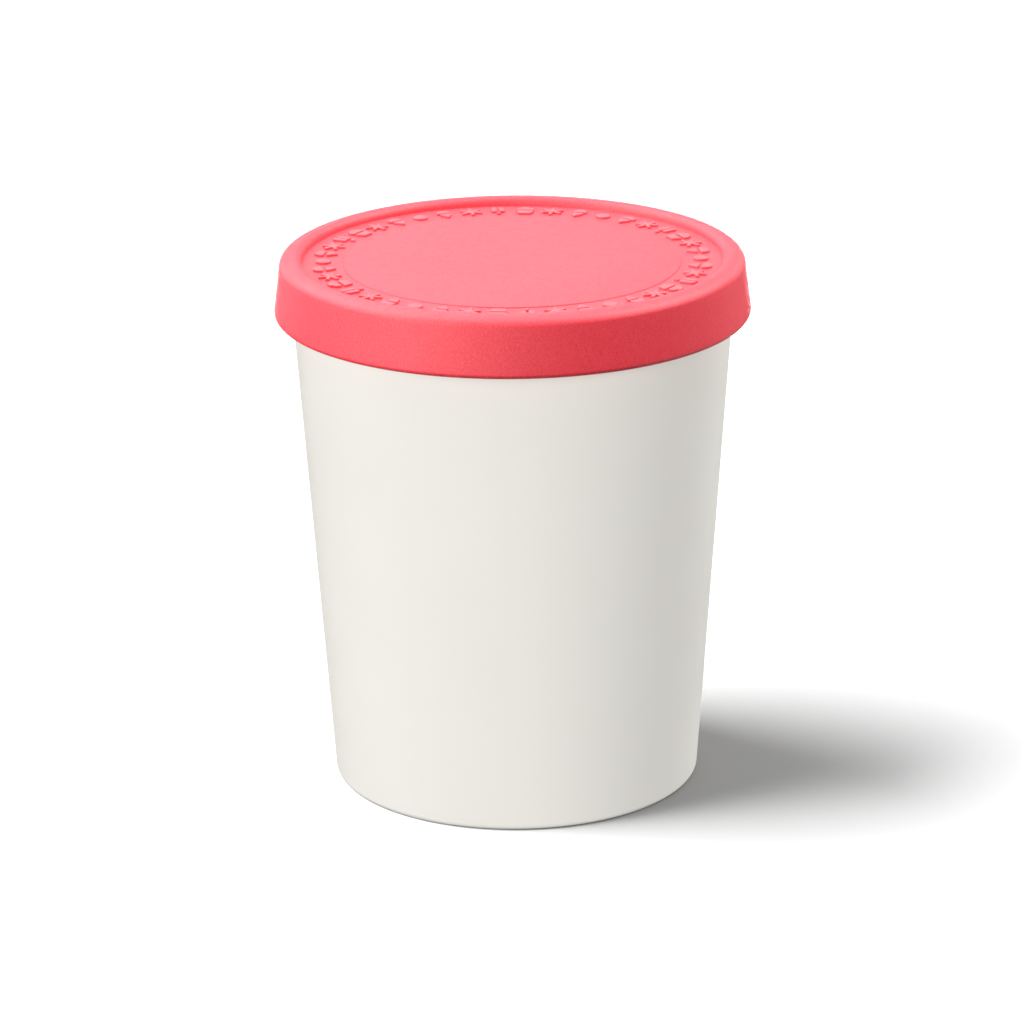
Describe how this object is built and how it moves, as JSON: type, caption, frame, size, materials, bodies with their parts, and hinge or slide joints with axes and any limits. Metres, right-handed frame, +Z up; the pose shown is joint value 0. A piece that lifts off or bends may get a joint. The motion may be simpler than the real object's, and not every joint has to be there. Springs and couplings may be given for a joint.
{
  "type": "ice cream tub",
  "caption": "Round tapered white tub, shut, under a soft coral lid with a flared skirt, a sunk top, a low centre disc and a ring of small raised motifs.",
  "frame": {"origin": "on the tub's axis, at the level that its foot stands on", "axes": "+Z up along the tub's axis, towards the lid; +X through one of the six dots of the lid's ring of motifs; the picture looks along +Y"},
  "size_m": [0.13, 0.13, 0.149],
  "materials": {
    "tub_plastic": "smooth satin moulded plastic, warm white",
    "lid_silicone": "matte silicone with a fine grain, coral red"
  },
  "bodies": {
    "root": {"tub": "tub_plastic", "lid": "lid_silicone"}
  },
  "joints": []
}
